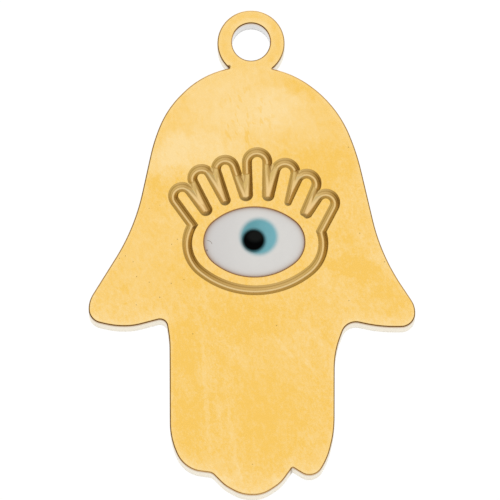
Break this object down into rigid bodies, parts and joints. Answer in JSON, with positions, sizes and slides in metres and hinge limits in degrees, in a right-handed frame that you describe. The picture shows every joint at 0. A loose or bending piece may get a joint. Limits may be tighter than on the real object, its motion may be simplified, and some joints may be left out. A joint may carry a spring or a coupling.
{
  "type": "hamsa pendant",
  "caption": "Flat gold coloured hand pendant with a hanging loop, an engraved eye with lashes and an enamel inlay.",
  "frame": {"origin": "centre of the outline's box, on the flat back", "axes": "+X to the right as the front is seen, +Y from the fingertips to the hanging loop, +Z out of the front face"},
  "size_m": [0.017, 0.026, 0.0015],
  "materials": {
    "gold": "polished, gold coloured",
    "white": "gloss enamel",
    "blue": "gloss enamel",
    "black": "gloss enamel"
  },
  "bodies": {
    "root": {"hand_plate": "gold", "white_enamel": "white", "blue_enamel": "blue", "black_enamel": "black"}
  },
  "joints": []
}
